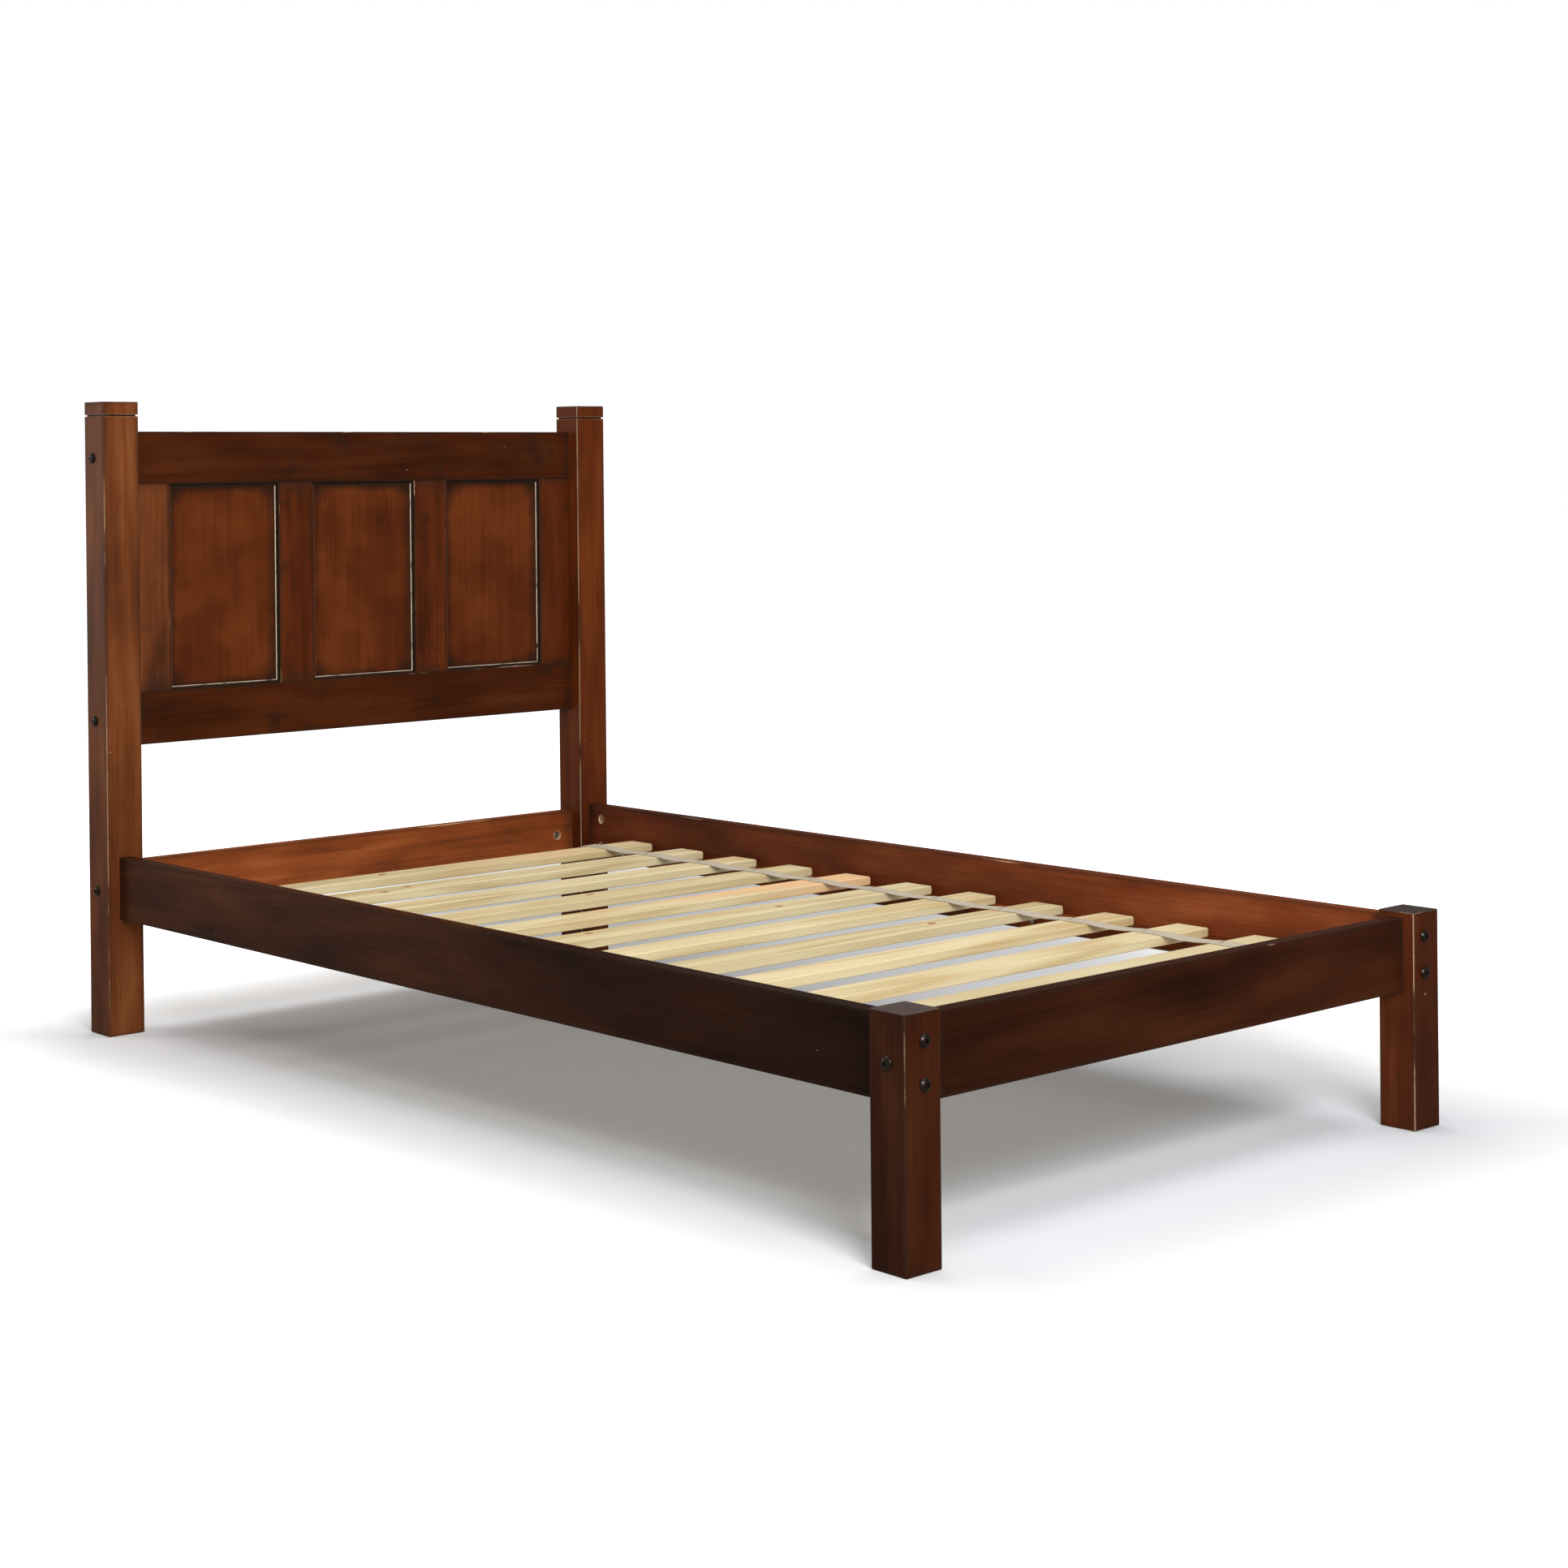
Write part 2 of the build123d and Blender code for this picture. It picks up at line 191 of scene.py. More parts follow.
class Board(Shader):
    """A material for one wooden node: its own grain, and distances to its own edges."""

    def __init__(self, node, grain_axis):
        super().__init__(f"{node}_wood")
        self.node = node
        self.axis = grain_axis
        self.low, self.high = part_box(node)
        self.half = (self.high - self.low) / 2
        self.local = self.vector("SUBTRACT", self.place, (self.low + self.high) / 2)
        self.parts = self.split(self.local)
        inside = self.vector("SUBTRACT", self.half, self.vector("ABSOLUTE", self.local))
        self.inside = self.split(inside)
        draw = random.Random(node)
        self.shifted = self.vector("ADD", self.local, [draw.uniform(2, 9) for _ in range(3)])

    def stretched(self, across, along):
        """Coordinates for grain, in features per metre across and along it."""
        scales = [across] * 3
        scales[self.axis] = along
        return self.vector("MULTIPLY", self.shifted, scales)

    def side_edge(self):
        """Distance to the nearest of the four long edges."""
        a, b = [d for axis, d in enumerate(self.inside) if axis != self.axis]
        return self.math("MAXIMUM", a, b)

    def any_edge(self):
        """Distance to the nearest of all twelve edges: the middle one of the three distances."""
        a, b, c = self.inside
        high = self.math("MAXIMUM", self.math("MINIMUM", a, b), c)
        return self.math("MINIMUM", self.math("MAXIMUM", a, b), high)

    def figure(self, rings=7.0):
        """Long arched rings, as flat-sawn wood shows, and fine streaks, both about 0.5."""
        slow = self.noise(self.stretched(9, 0.9), 1.0, 1.5, 0.45, 0.25)
        wave = self.math("SINE", self.math("MULTIPLY", slow, math.tau * rings))
        arches = self.plus(self.math("MULTIPLY", wave, 0.5), 0.5)
        streaks = self.noise(self.stretched(230, 4.5), 1.0, 3.0, 0.6)
        return arches, streaks

    def knots(self, places, radius):
        """How near the surface is to each knot, from 0 to 1. Places are in the bed's frame."""
        shape = [1.0, 1.0, 0.0]
        shape[self.axis] = 0.62
        wobble = self.swing(self.noise(self.place, 130, 2), radius)
        near = 0.0
        for place in places:
            away = self.vector("MULTIPLY", self.vector("SUBTRACT", self.place, place), shape)
            distance = self.plus(self.vector("LENGTH", away), wobble)
            near = self.math("MAXIMUM", near, self.step(distance, radius * 3.2, radius * 0.5))
        return near


# Colours, linear
STAIN = {"dark": (0.045, 0.0098, 0.0032), "mid": (0.148, 0.0292, 0.0058), "light": (0.270, 0.066, 0.015)}
# Pale rubbed wood for wear; on the arrises and the beads' crests it is also painted highlight
WORN_AND_HIGHLIT = (0.62, 0.42, 0.26)
CREAM = (0.78, 0.64, 0.49)
# Dark glaze; also used as painted shade inside a head post's kerf and on the panels' beads
GLAZE_AND_SHADE = (0.016, 0.0085, 0.0055)
BARE = (0.62, 0.40, 0.26)
END_GRAIN = (0.060, 0.042, 0.040)

WOOD_GLOSS = 0.14
TOP_GLOSS = 0.03  # of a rail's top, which shows at a low angle
LACQUER_TINT = (1.0, 0.74, 0.56, 1)
TOWARD_BROWN = (0.1, 0.5, 1.15)  # how much dull adds to red, green and blue
TOP_SHOWS = 0.0016  # how far below a post's top its end grain starts to show


def stained(
    node, grain_axis, tone_and_light=1.0, wear_and_highlight=0.5, open_ends=False, painted_face_light=None, smudge=0.0, painted_light_ramp=(1, 1), dull=0.0
):
    """Dark red-brown stain and glaze under satin lacquer, rubbed through to pale wood on the arrises, which
    is wear and a painted highlight together. The board's brightness is its own tone with painted light and
    shade. One face, given by its axis and side, is painted lighter or darker than the rest for the light on
    it, and the stain is painted lighter or darker toward the low and high ends of the grain's axis for the
    light along it. dull turns it from red toward brown."""
    s = Board(node, grain_axis)
    arches, streaks = s.figure()
    blotch = s.noise(s.stretched(11, 3.2), 1.0, 3.0, 0.55)
    tone = s.plus(0.5, s.swing(arches, 0.10), s.swing(streaks, 0.30), s.swing(blotch, 0.95))
    # The board's brightness: its own tone together with painted light and shade for how the light falls on
    # it.
    colours = [scaled(STAIN[name], tone_and_light) for name in ("dark", "mid", "light")]
    colour = s.ramp(tone, (0.22, colours[0]), (0.52, colours[1]), (0.86, colours[2]))
    if dull:
        colour = s.vector("MULTIPLY", colour, [1.0 + extra * dull for extra in TOWARD_BROWN])
    # Painted light and shade along the board: the stain lighter or darker toward either end, for how the
    # light falls along it.
    if painted_light_ramp != (1, 1):
        reach = float(s.half[grain_axis])
        along = s.step(s.parts[grain_axis], -reach, reach)
        colour = s.vector("SCALE", colour, s.plus(painted_light_ramp[0], s.times(along, painted_light_ramp[1] - painted_light_ramp[0])))
    pores = s.noise(s.stretched(900, 26), 1.0, 1.0, 0.5)
    colour = s.mix(s.times(s.step(pores, 0.60, 0.72), 0.3), colour, scaled(STAIN["dark"], 0.6 * tone_and_light))
    # Painted light: one face is lighter or darker, and less red, than the rest, for the light that falls on
    # it.
    axis, side, face_light_factor = painted_face_light or (UP, 1, 1.0)
    if face_light_factor != 1.0:
        face = s.step(s.times(s.parts[axis], side), s.half[axis] * 0.8, s.half[axis] * 0.97)
        warm = s.vector("MULTIPLY", colour, (face_light_factor, face_light_factor * 1.1, face_light_factor * 1.6))
        colour = s.mix(face, colour, warm)
    edge = s.any_edge() if open_ends else s.side_edge()
    rough = s.noise(s.shifted, 260, 2)
    patches = s.noise(s.shifted, 7, 3, 0.6)
    # Rubbed arrises: wear, and also a painted highlight where the edges catch the light.
    near = s.plus(edge, s.swing(rough, 0.0016))
    width = 0.0011 + 0.0004 * wear_and_highlight
    worn_here = s.step(patches, 0.60 - 0.28 * wear_and_highlight, 0.72 - 0.22 * wear_and_highlight)
    rubbed = s.times(s.step(near, width + 0.0005, width - 0.0005), worn_here)
    # Painted highlight: on a post the rubbed arrises are full strength round its corner toward the foot and
    # the left side, where the light falls, and a quarter as strong elsewhere.
    if open_ends:
        near_corner = s.math("MAXIMUM", s.parts[ACROSS], s.parts[ALONG])
        rubbed = s.times(rubbed, s.plus(0.25, s.times(s.step(near_corner, 0.0, -0.01), 0.75)))
    dark_band = s.times(s.step(s.plus(edge, s.swing(patches, 0.012)), 0.007, 0.0012), 0.45)
    colour = s.mix(dark_band, colour, scaled(GLAZE_AND_SHADE, 1.4))
    if not open_ends:
        end = s.plus(s.inside[grain_axis], s.swing(blotch, 0.05))
        colour = s.mix(s.times(s.step(end, 0.030, 0.0), 0.55), colour, scaled(GLAZE_AND_SHADE, 1.6))
    if smudge:
        cloud = s.noise(s.shifted, 17, 3, 0.6)
        colour = s.mix(s.times(s.step(cloud, 0.56, 0.72), smudge), colour, GLAZE_AND_SHADE)
    nicks = s.noise(s.shifted, 115, 0.0)
    colour = s.mix(s.times(s.step(nicks, 0.90, 0.93), 0.6), colour, WORN_AND_HIGHLIT)
    colour = s.mix(s.times(rubbed, 0.42 if open_ends else 0.75), colour, WORN_AND_HIGHLIT)
    roughness = s.plus(0.40, s.swing(streaks, 0.16), s.swing(blotch, 0.14), s.times(rubbed, 0.2))
    height = s.plus(s.swing(streaks, 0.5), s.times(pores, -0.5), s.times(nicks, -0.2))
    gloss = WOOD_GLOSS
    if grain_axis != UP:
        below_top = s.step(s.parts[UP], s.half[UP] - 0.0005, s.half[UP] - 0.002)
        gloss = s.plus(s.times(below_top, WOOD_GLOSS - TOP_GLOSS), TOP_GLOSS)
    return finish_wood(s, colour, roughness, height, 0.00022, gloss)


def finish_wood(s, colour, roughness, height, depth, gloss):
    s.set(Roughness=roughness, Specular_IOR_Level=gloss, Specular_Tint=LACQUER_TINT)
    s.colour = colour
    s.bump(height, depth)
    return s


def done(s):
    """Puts the finished colour on the surface, and the material on its node."""
    s.set(Base_Color=s.colour)
    give(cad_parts[s.node], s)


def post(side, end, tone_and_light, wear_and_highlight, face_light_factor=1.0, top_shade=1.0, dull=0.0):
    """A post. Its left face is painted lighter or darker than the others for the light on it, by the
    argument after the wear, and top_shade is for its end grain.
    """
    s = stained(f"{end}_post_{side}", UP, tone_and_light, wear_and_highlight, open_ends=True, painted_face_light=(ACROSS, -1, face_light_factor), dull=dull)
    top = s.step(s.parts[UP], s.half[UP] - TOP_SHOWS, s.half[UP] - TOP_SHOWS + 0.001)
    speckle = s.swing(s.noise(s.shifted, 420, 2, 0.6), 1.2)
    deep, pale = (scaled(END_GRAIN, share * top_shade) for share in (0.5, 1.5))
    ends = s.ramp(s.plus(0.5, speckle), (0.2, deep), (0.8, pale))
    s.colour = s.mix(s.times(top, 0.85), s.colour, ends)
    if end == "head":
        drop = s.math("SUBTRACT", s.high[UP], s.split(s.place)[UP])
        middle = KERF_DROP + KERF_HEIGHT / 2
        away = s.math("ABSOLUTE", s.math("SUBTRACT", drop, middle))
        patches = s.step(s.noise(s.shifted, 40, 2), 0.36, 0.56)
        lips = s.times(s.step(away, KERF_HEIGHT / 2 + 0.0013, KERF_HEIGHT / 2), patches)
        s.colour = s.mix(s.times(lips, 0.35), s.colour, WORN_AND_HIGHLIT)
        # Painted shade: the inside of the kerf is painted glaze-dark, for the shade in the cut.
        kerf = s.step(away, KERF_HEIGHT / 2 + 0.0002, KERF_HEIGHT / 2 - 0.0002)
        s.colour = s.mix(kerf, s.colour, scaled(GLAZE_AND_SHADE, 0.7))
    done(s)


def nut_holes(s, mouth, spread=0.0):
    """Bare wood inside the barrel nuts' holes, and a chipped rim. The holes are alike at both ends.
    mouth is the axis and side of the face that they open in."""
    along = s.math("SUBTRACT", s.inside[s.axis], NUT_INSET)
    beside = s.math("SUBTRACT", s.math("ABSOLUTE", s.parts[UP]), spread / 2)
    chips = s.swing(s.noise(s.shifted, 300, 2), 0.0012)
    distance = s.plus(s.vector("LENGTH", s.join(along, beside, 0.0)), chips)
    rim = s.step(distance, NUT_HOLE_RADIUS + 0.0007, NUT_HOLE_RADIUS + 0.0001)
    axis, side = mouth
    open_side = s.step(s.times(s.parts[axis], side), 0.001 - s.half[axis], 0.002 - s.half[axis])
    s.colour = s.mix(s.times(rim, open_side), s.colour, BARE)


def rail(node, grain_axis, tone_and_light, wear_and_highlight, mouth, face_light_factor=1.0, spread=0.0, smudge=0.0, painted_light_ramp=(1, 1), dull=0.0):
    """A rail. The face that its barrel nuts are let into is painted lighter or darker than the others for
    the light on it, by the argument after mouth.
    """
    s = stained(node, grain_axis, tone_and_light, wear_and_highlight, painted_face_light=(*mouth, face_light_factor), smudge=smudge, painted_light_ramp=painted_light_ramp, dull=dull)
    nut_holes(s, mouth, spread)
    done(s)


def upright(node, tone_and_light, smudge, dull=0.0):
    done(stained(node, UP, tone_and_light, 0.0, smudge=smudge, dull=dull))


def panel(name, tone_and_light):
    """A flat panel, with dark glaze left toward its edges and thickest in its corners, and darker along its
    right edge.
    """
    s = Board(f"headboard_panel_{name}", UP)
    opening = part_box(f"panel_bead_{name}")
    half_width = (opening[1].x - opening[0].x) / 2 - BEAD_WIDTH
    half_height = (opening[1].z - opening[0].z) / 2 - BEAD_WIDTH
    arches, streaks = s.figure(5.0)
    cloud = s.noise(s.shifted, 9, 3, 0.55)
    tone = s.plus(0.52, s.swing(arches, 0.06), s.swing(streaks, 0.42), s.swing(cloud, 0.8))
    colours = [scaled(STAIN[name], tone_and_light) for name in ("dark", "mid", "light")]
    colour = s.ramp(tone, (0.15, colours[0]), (0.5, colours[1]), (0.9, colours[2]))
    beside = s.math("SUBTRACT", half_width, s.math("ABSOLUTE", s.parts[ACROSS]))
    above = s.math("SUBTRACT", half_height, s.math("ABSOLUTE", s.parts[UP]))
    ragged = s.swing(s.noise(s.shifted, 30, 3, 0.6), 0.022)
    edge = s.step(s.plus(s.math("MINIMUM", beside, above), ragged), 0.014, -0.002)
    right = s.step(s.plus(s.math("SUBTRACT", half_width, s.parts[ACROSS]), ragged), 0.024, 0.0)
    edge = s.math("MAXIMUM", edge, s.times(right, 0.85))
    corner = s.step(s.plus(beside, above, ragged), 0.062, 0.006)
    glaze = s.math("MAXIMUM", s.times(edge, 0.7), s.times(corner, 0.85))
    colour = s.mix(glaze, colour, GLAZE_AND_SHADE)
    roughness = s.plus(0.42, s.swing(streaks, 0.12), s.swing(cloud, 0.12))
    done(finish_wood(s, colour, roughness, s.swing(streaks, 0.5), 0.00018, WOOD_GLOSS))


def bead(name):
    """A quarter-round bead. Its crest is pale on the right and bottom beads, rubbed wood with a painted
    highlight, and faint on the others; the right, top and bottom beads are glaze-dark, partly painted
    shade, and the left one stain-coloured.
    """
    s = Board(f"panel_bead_{name}", UP)
    inward = s.math("MINIMUM", s.inside[ACROSS], s.inside[UP])
    depth = s.math("SUBTRACT", s.split(s.place)[ALONG], s.low[ALONG])
    ragged = s.swing(s.noise(s.shifted, 160, 3, 0.6), 0.0016)
    patches = s.step(s.noise(s.shifted, 22, 3, 0.6), 0.26, 0.46)
    upright = s.step(s.math("SUBTRACT", s.inside[UP], s.inside[ACROSS]), -0.0005, 0.0005)
    right = s.step(s.parts[ACROSS], -0.01, 0.01)
    low = s.step(s.parts[UP], 0.01, -0.01)
    # Painted highlight: the pale crest is strong on the right and bottom beads, where the light falls, and
    # faint on the left and top ones.
    highlight_sides = s.make("ShaderNodeMix", {0: upright, 2: s.plus(0.03, s.times(low, 0.62))})
    s.put(highlight_sides.inputs[3], s.plus(0.06, s.times(right, 0.84)))
    crest = s.step(s.plus(inward, ragged), 0.0043, 0.0053)
    front = s.step(s.plus(depth, ragged), 0.0062, 0.0040)
    grain = s.noise(s.shifted, 240, 2)
    pale = s.ramp(grain, (0.3, scaled(CREAM, 0.85)), (0.7, scaled(CREAM, 1.1)))
    # Painted shade, in glaze colour: the right, top and bottom beads are dark, the left one stain-coloured.
    plain = s.times(upright, s.plus(1.0, s.times(right, -1.0)))
    base = s.mix(plain, GLAZE_AND_SHADE, scaled(STAIN["mid"], 0.4))
    colour = s.mix(s.times(crest, front, patches, highlight_sides.outputs[0]), base, pale)
    done(finish_wood(s, colour, 0.45, s.swing(grain, 0.5), 0.0002, WOOD_GLOSS))


PINE = {"dark": (0.53, 0.385, 0.185), "mid": (0.64, 0.530, 0.310), "light": (0.71, 0.610, 0.380)}
PEACH = (0.80, 0.50, 0.265)
KNOT = (0.30, 0.135, 0.055)
# Knots, as places along and across a slat's top, from its middle
SLAT_KNOTS = {
    1: [(-0.10, 0.008)],
    2: [(-0.21, -0.013), (-0.15, 0.009)],
    4: [(0.02, 0.014)],
    6: [(0.16, -0.006), (-0.22, 0.012)],
    8: [(0.217, 0.0)],
}
KNOT_RADIUS = 0.0045
SLAT_SEED = 11
PEACHY = {1: 0.7, 3: 0.4, 5: 0.9, 8: 0.6, 10: 0.3}  # how much pink heartwood each slat shows


def slat(number, draw):
    """Planed bare pine. Each slat has its own tint, and some have knots."""
    node = f"slat_{number:02d}"
    s = Board(node, ACROSS)
    arches, streaks = s.figure(draw.uniform(4, 9))
    cloud = s.noise(s.shifted, 4, 2)
    tone = s.plus(0.5, s.swing(arches, 0.42), s.swing(streaks, 0.70), s.swing(cloud, 0.7))
    bright = draw.uniform(0.93, 1.05)
    colours = [scaled(PINE[name], bright) for name in ("dark", "mid", "light")]
    colour = s.ramp(tone, (0.15, colours[0]), (0.5, colours[1]), (0.85, colours[2]))
    pink = PEACHY.get(number, 0.1)
    warm = s.step(s.noise(s.stretched(6, 1.6), 1.0, 2), 0.60 - 0.2 * pink, 0.72 - 0.1 * pink)
    colour = s.mix(s.times(warm, pink), colour, PEACH)
    places = SLAT_KNOTS.get(number, [])
    if places:
        middle = (s.low.y + s.high.y) / 2
        near = s.knots([(x, middle + y, s.high.z) for x, y in places], KNOT_RADIUS)
        halo = s.mix(s.times(near, 0.5), colour, PEACH)
        colour = s.mix(s.step(near, 0.72, 0.95), halo, KNOT)
    roughness = s.plus(0.58, s.swing(streaks, 0.15))
    done(finish_wood(s, colour, roughness, s.swing(streaks, 0.6), 0.00025, 0.15))


def dowel_wood():
    s = Board("locating_dowels", ACROSS)
    streaks = s.noise(s.stretched(300, 20), 1.0, 2)
    colour = s.ramp(streaks, (0.3, (0.50, 0.36, 0.21)), (0.7, (0.66, 0.50, 0.32)))
    done(finish_wood(s, colour, 0.6, streaks, 0.0002, 0.3))


# ---------------------------------------------------------------- metal


def metal(name, nodes, dark, light, roughness, metallic, depth):
    s = Shader(name)
    cloud = s.noise(s.place, 90, 3, 0.6)
    fine = s.noise(s.place, 900, 2)
    s.set(Base_Color=s.ramp(cloud, (0.3, dark), (0.7, light)), Metallic=metallic)
    s.set(Roughness=s.plus(roughness, s.swing(cloud, 0.2)))
    s.bump(fine, depth)
    for node in nodes:
        give(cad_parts[node], s)


# ---------------------------------------------------------------- webbing


STRAP_SAG = 0.0018  # between two slats
STRAP_LIFT = 0.0003  # clear of the slats
STRAP_HALF = 0.0139
STRAP_THICK = 0.0011
RIB = 0.00011  # height of the cross ribs
SELVEDGE = 0.00016  # how much thicker the strap is along its two sides
SLAT_ROUND = 0.0020
SLAT_LAP = 0.0012  # how far the strap follows a slat's rounded edge
TAIL = 0.014  # length past the end slats' edges
TAIL_DROOP = 0.004
ROWS_ACROSS = 18
STEP_ALONG = 0.0016


def strap_height(y, slats):
    """Height of the strap's underside above the slats' tops, below zero where it hangs between them."""
    first, last = slats[0][1], slats[-1][0]
    if y > first:
        return -0.6 * TAIL_DROOP * ((y - first) / TAIL) ** 2
    if y < last:
        return -TAIL_DROOP * ((last - y) / TAIL) ** 2
    for (a, _), (_, b) in zip(slats, slats[1:]):
        start, end = a + SLAT_ROUND - SLAT_LAP, b - SLAT_ROUND + SLAT_LAP
        if end < y < start:
            share = (y - end) / (start - end)
            return -STRAP_SAG * 4 * share * (1 - share)
    return 0.0


def strap(side, slats):
    """A woven strap laid over the slats, with cross ribs, thicker selvedges and a little slack."""
    old = f"slat_strap_{side}"
    low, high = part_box(old)
    middle = (low.x + high.x) / 2
    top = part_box("slat_01")[1].z + STRAP_LIFT
    count = int((high.y - low.y) / STEP_ALONG)
    phase = random.Random(side).uniform(0, 6)
    points, faces, length = [], [], 0.0
    before = None
    for i in range(count + 1):
        y = high.y - (high.y - low.y) * i / count
        hang = strap_height(y, slats)
        slack = -hang / STRAP_SAG
        wander = 0.0007 * math.sin(2.3 * y + phase) + 0.0003 * slack * math.sin(11 * y + phase)
        twist = 0.03 * slack * math.sin(5.1 * y + 2 * phase)
        here = Vector((middle + wander, y, top + hang))
        length += (here - before).length if before else 0.0
        before = here
        for level in (0, 1):
            for j in range(ROWS_ACROSS + 1):
                share = 2 * j / ROWS_ACROSS - 1
                cup = -0.0004 * slack * share * share
                rib = RIB * (-1) ** (i + j)
                selvedge = SELVEDGE if abs(share) > 0.88 else 0.0
                thick = (STRAP_THICK + rib + selvedge) * level
                x = here.x + STRAP_HALF * share
                points.append((x, y, here.z + cup + twist * STRAP_HALF * share * slack + thick))
    ring = 2 * (ROWS_ACROSS + 1)
    above = ROWS_ACROSS + 1
    for i in range(count):
        a, b = i * ring, (i + 1) * ring
        for j in range(ROWS_ACROSS):
            faces.append((a + j, b + j, b + j + 1, a + j + 1))
            faces.append((a + above + j, a + above + j + 1, b + above + j + 1, b + above + j))
        for j in (0, ROWS_ACROSS):
            quad = (a + j, a + above + j, b + above + j, b + j)
            faces.append(quad if j == 0 else quad[::-1])
    for a in (0, count * ring):
        for j in range(ROWS_ACROSS):
            quad = (a + j, a + j + 1, a + above + j + 1, a + above + j)
            faces.append(quad if a == 0 else quad[::-1])
    mesh = bpy.data.meshes.new(f"webbing_{side}")
    mesh.from_pydata(points, [], faces)
    mesh.shade_smooth()
    piece = bpy.data.objects.new(f"webbing_{side}", mesh)
    bpy.context.scene.collection.objects.link(piece)
    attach(piece, "root")
    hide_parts(old)
    return piece


WARP_PITCH, WEFT_PITCH = 0.0016, 0.0018
TWILL_PITCH = (0.004, 0.003)


def webbing_material():
    """Buff tape in a fine twill, a little soiled."""
    s = Shader("webbing_tape")
    x, y, _ = s.split(s.place)
    warp = s.math("SINE", s.times(x, math.tau / WARP_PITCH))
    weft = s.math("SINE", s.times(y, math.tau / WEFT_PITCH))
    across, along = (math.tau / pitch for pitch in TWILL_PITCH)
    twill = s.math("SINE", s.plus(s.times(x, across), s.times(y, along)))
    weave = s.plus(s.times(warp, weft, 0.35), s.times(twill, 0.15), 0.5)
    soil = s.noise(s.place, 25, 3, 0.6)
    colour = s.ramp(weave, (0.15, (0.42, 0.365, 0.28)), (0.85, (0.54, 0.475, 0.375)))
    colour = s.mix(s.times(s.step(soil, 0.45, 0.75), 0.3), colour, (0.45, 0.40, 0.29))
    s.set(Base_Color=colour, Roughness=0.85, Specular_IOR_Level=0.2)
    s.bump(weave, 0.00025)
    return s


# ---------------------------------------------------------------- the bed


def dress_frame():
    """Sets each board's brightness, its own tone with painted light and shade, its wear with painted
    highlight, and the painted light and shade along it.
    """
    toward_right, toward_left = (ACROSS, 1), (ACROSS, -1)
    toward_head, toward_foot = (ALONG, 1), (ALONG, -1)
    post("left", "head", 0.86, 0.6, dull=1.0)
    post("left", "foot", 0.26, 0.45, 0.9)
    rail("side_rail_left", ALONG, 0.19, -0.4, toward_right, 4.0, NUT_SPREAD, painted_light_ramp=(0.5, 2.0), dull=0.5)
    upright("headboard_stile_left", 1.1, 0.25, 1.0)
    post("right", "head", 0.76, 1.0)
    post("right", "foot", 0.37, 0.8, 1.5, top_shade=0.5)
    rail("side_rail_right", ALONG, 0.78, 0.2, toward_left, 1.35, NUT_SPREAD, painted_light_ramp=(1.25, 0.7))
    upright("headboard_stile_right", 0.62, 0.25)
    rail("foot_rail", ACROSS, 0.25, -0.1, toward_head, 2.6, painted_light_ramp=(0.6, 1.1))
    rail("head_cross_rail", ACROSS, 1.6, 0.3, toward_foot, dull=0.5)
    rail("headboard_top_rail", ACROSS, 0.34, 0.1, toward_head, smudge=0.5)
    rail("headboard_bottom_rail", ACROSS, 0.40, 0.2, toward_head, smudge=0.5)
    for number in (1, 2):
        upright(f"headboard_mullion_{number}", 0.74, 0.4)
    for name in ("left", "centre", "right"):
        panel(name, 0.65)
        bead(name)
    for side in ("left", "right"):
        done(stained(f"slat_ledge_{side}", ALONG, 1.1, 0.3))


def dress_slats():
    draw = random.Random(SLAT_SEED)
    for number in range(1, SLATS + 1):
        slat(number, draw)
    tape = webbing_material()
    slats = []
    for number in range(1, SLATS + 1):
        low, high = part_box(f"slat_{number:02d}")
        slats.append((low.y, high.y))
    for side in ("left", "right"):
        give(strap(side, slats), tape)
    dowel_wood()


def dress_metal():
    groups = ("headboard", "cross_rail", "foot_rail", "side_rail")
    bolts = [f"{group}_bolts" for group in groups]
    nuts = [f"{group}_barrel_nuts" for group in groups]
    metal("black_oxide", bolts, (0.010, 0.006, 0.004), (0.024, 0.015, 0.010), 0.28, 0.45, 0.00004)
    metal("zinc_nut", nuts, (0.38, 0.37, 0.30), (0.62, 0.61, 0.55), 0.34, 1.0, 0.00003)
    steel = ["ledge_screws_left", "ledge_screws_right", "strap_staples"]
    metal("zinc_wire", steel, (0.42, 0.41, 0.38), (0.66, 0.65, 0.62), 0.3, 1.0, 0.00002)


# ---------------------------------------------------------------- the studio


FLOOR_REACH = 40.0
PALE, UNDER_BED, SHADED = (0.90, 0.90, 0.90), (0.728, 0.755, 0.802), (0.57, 0.575, 0.585)
BED_MIDDLE = (0.10, -0.12, 0.0)  # of the greyer paint under the bed
BED_REACH = (0.42, 0.86)
SHADOW_MIDDLE = (0.97, 0.98, 0.0)  # of the painted shadow beside the bed
SHADOW_SCALE = (1.33, 0.75, 0.0)


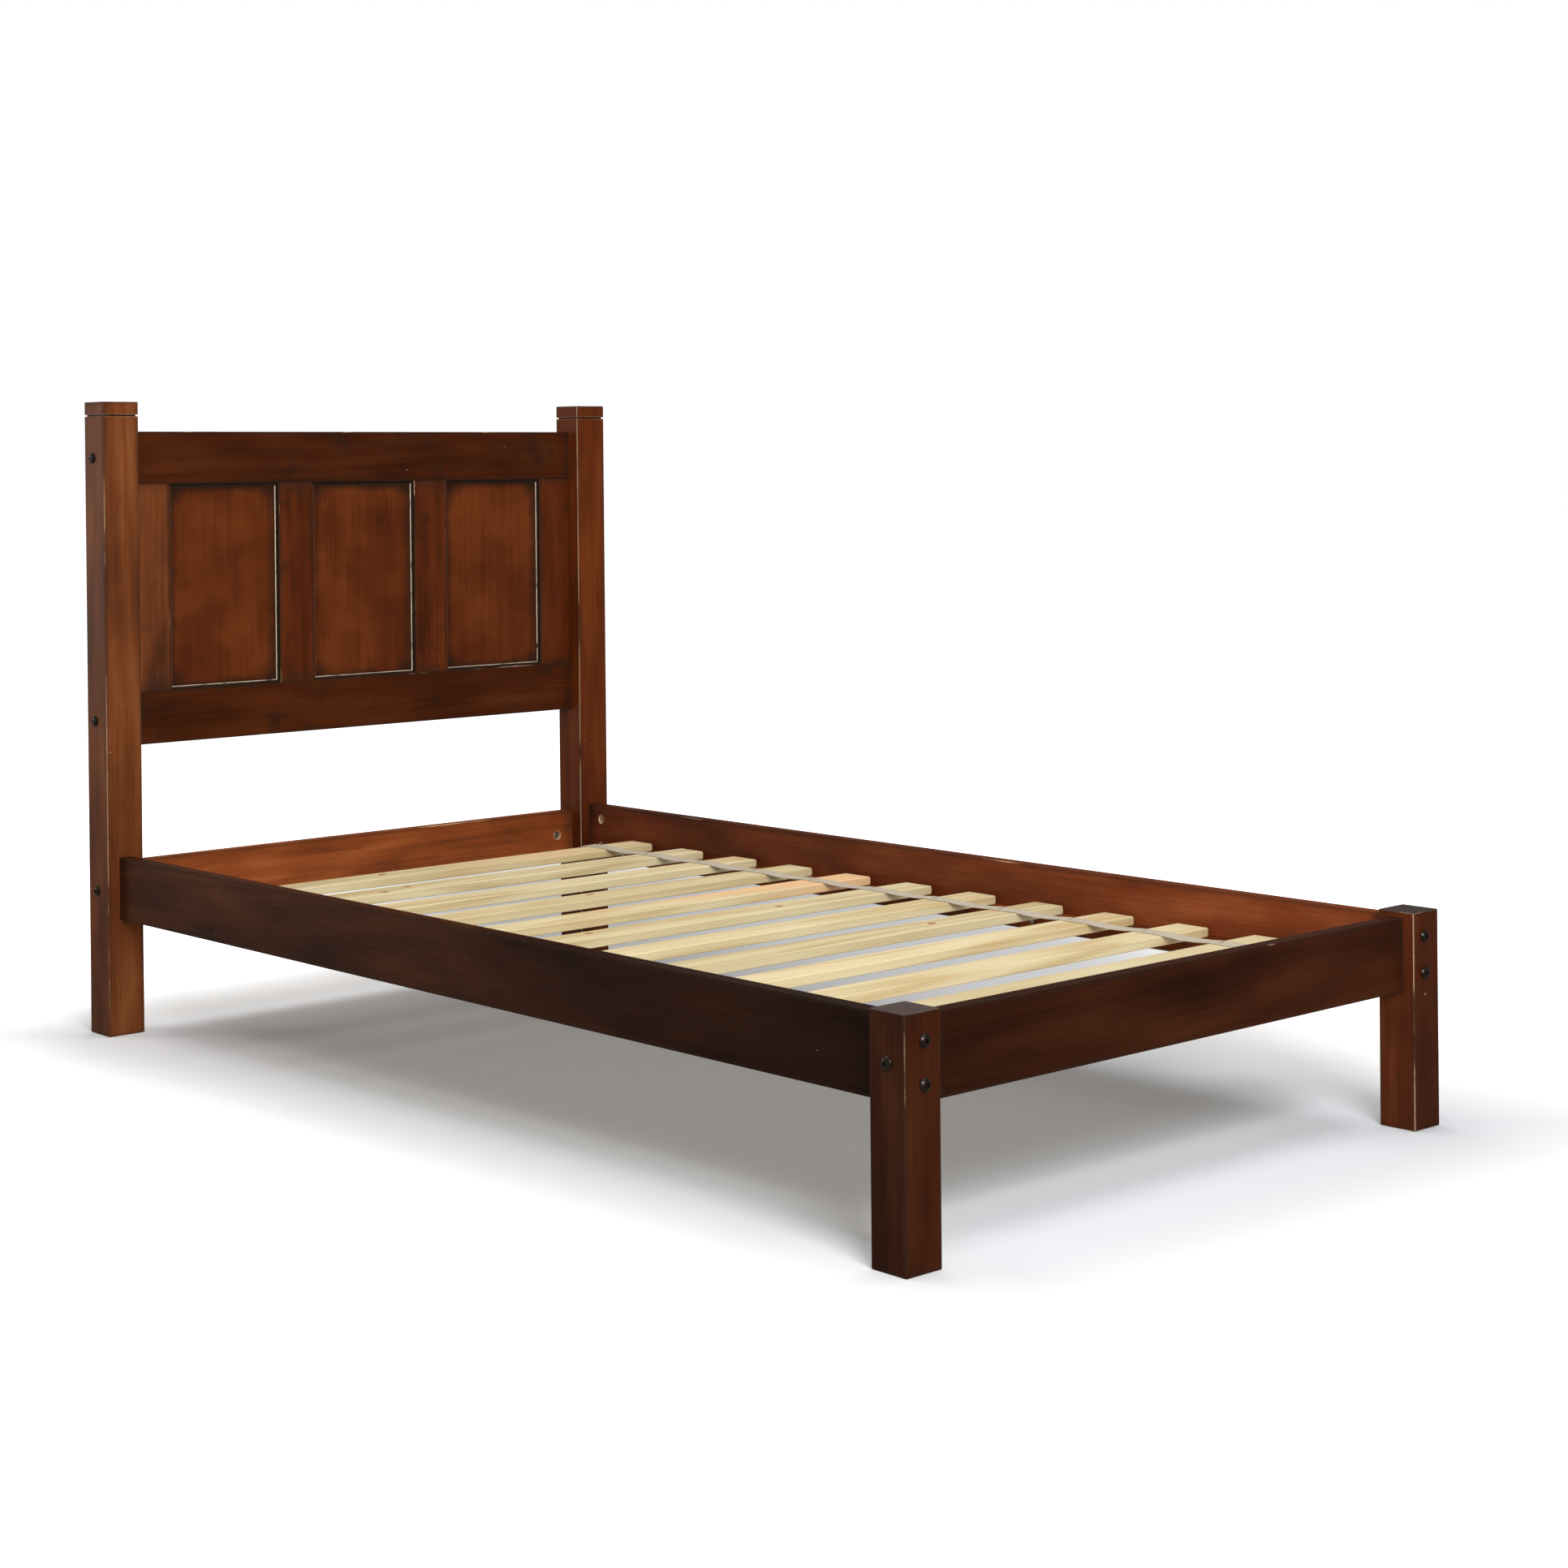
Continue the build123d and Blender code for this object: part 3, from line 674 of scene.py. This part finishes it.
def floor():
    """Pale paint with two soft shadows painted in, under the bed and on its side away from the key
    light, which add to the real ones. Further away it is pure white to any camera."""
    mesh = bpy.data.meshes.new("floor")
    reach = FLOOR_REACH
    corners = [(-reach, -reach, 0), (reach, -reach, 0), (reach, reach, 0), (-reach, reach, 0)]
    mesh.from_pydata(corners, [], [(0, 1, 2, 3)])
    piece = bpy.data.objects.new("floor", mesh)
    bpy.context.scene.collection.objects.link(piece)
    s = Shader("floor_paint")
    seen = s.make("ShaderNodeLightPath").outputs["Is Camera Ray"]
    shifted = s.vector("SUBTRACT", s.place, BED_MIDDLE)
    x, y, _ = s.split(s.vector("ABSOLUTE", shifted))
    beyond = s.math("MAXIMUM", s.math("SUBTRACT", x, BED_REACH[0]), s.math("SUBTRACT", y, BED_REACH[1]))
    paint = s.mix(s.step(beyond, 0.36, -0.06), PALE, UNDER_BED)
    from_shadow = s.vector("SUBTRACT", s.place, SHADOW_MIDDLE)
    distance = s.vector("LENGTH", s.vector("MULTIPLY", from_shadow, SHADOW_SCALE))
    paint = s.mix(s.step(distance, 1.35, 0.35), paint, SHADED)
    white = s.times(s.step(beyond, 0.20, 0.85), s.step(distance, 0.55, 1.40))
    s.set(Base_Color=paint, Roughness=0.9, Specular_IOR_Level=0.0)
    s.set(Emission_Color=(1, 1, 1), Emission_Strength=s.times(seen, white))
    give(piece, s)
    piece.visible_glossy = False


def softbox(name, place, target, width, height, watts):
    light = bpy.data.lights.new(name, "AREA")
    light.shape = "RECTANGLE"
    light.size, light.size_y, light.energy = width, height, watts
    lamp = bpy.data.objects.new(name, light)
    lamp.location = place
    aim = Vector(target) - Vector(place)
    lamp.rotation_euler = aim.to_track_quat("-Z", "Y").to_euler()
    bpy.context.scene.collection.objects.link(lamp)


def flag():
    """A cloth under the slats, unseen, that deepens the soft shadow on the floor."""
    inset, height = 0.07, 0.10
    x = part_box("side_rail_right")[1].x - inset
    low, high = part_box("foot_rail")[0].y + inset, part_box("head_cross_rail")[1].y - inset
    corners = [(-x, low, height), (x, low, height), (x, high, height), (-x, high, height)]
    mesh = bpy.data.meshes.new("flag")
    mesh.from_pydata(corners, [], [(0, 1, 2, 3)])
    piece = bpy.data.objects.new("flag", mesh)
    bpy.context.scene.collection.objects.link(piece)
    piece.visible_camera = piece.visible_glossy = piece.visible_diffuse = False
    s = Shader("flag_cloth")
    s.set(Base_Color=(0.2, 0.2, 0.2), Roughness=1.0, Alpha=0.96)
    give(piece, s)


LIGHTS = {  # place, the point it faces, width, height and watts
    "overhead": ((0.2, 0.1, 3.4), (0, 0, 0), 4.4, 4.4, 118),
    "key": ((-2.0, -4.2, 2.3), (0, 0.4, 0.4), 1.9, 1.9, 182),
    "sheen": ((-2.9, 3.7, 1.3), (-0.3, 0.6, 0.5), 1.6, 2.2, 26),
}
WARM, WARM_STRENGTH = (1.0, 0.95, 0.88, 1), 0.20  # light from all round


def studio():
    """Soft warm light all round and three softboxes. The surround is white to the camera."""
    world = bpy.data.worlds.new("studio")
    bpy.context.scene.world = world
    world.use_nodes = True
    tree = world.node_tree
    tree.nodes.clear()
    output = tree.nodes.new("ShaderNodeOutputWorld")
    background = tree.nodes.new("ShaderNodeBackground")
    path = tree.nodes.new("ShaderNodeLightPath")
    mix = tree.nodes.new("ShaderNodeMixShader")
    white = tree.nodes.new("ShaderNodeBackground")
    background.inputs[0].default_value = WARM
    background.inputs[1].default_value = WARM_STRENGTH
    white.inputs[0].default_value = (1, 1, 1, 1)
    white.inputs[1].default_value = 1.0
    tree.links.new(path.outputs["Is Camera Ray"], mix.inputs[0])
    tree.links.new(background.outputs[0], mix.inputs[1])
    tree.links.new(white.outputs[0], mix.inputs[2])
    tree.links.new(mix.outputs[0], output.inputs[0])
    for name, values in LIGHTS.items():
        softbox(name, *values)
    bpy.context.scene.view_settings.view_transform = "Standard"


def camera():
    data = bpy.data.cameras.new("camera")
    data.lens, data.sensor_width, data.shift_y = CAMERA_LENS, 36.0, CAMERA_SHIFT
    data.clip_end = 200
    turn = Matrix.Rotation(-CAMERA_YAW, 4, "Z")
    turn @= Matrix.Rotation(math.pi / 2 - CAMERA_DIP, 4, "X")
    turn @= Matrix.Rotation(CAMERA_ROLL, 4, "Z")
    view = bpy.data.objects.new("camera", data)
    view.matrix_world = Matrix.Translation(CAMERA_PLACE) @ turn
    bpy.context.scene.collection.objects.link(view)
    bpy.context.scene.camera = view


camera()
dress_frame()
dress_slats()
dress_metal()
floor()
flag()
studio()
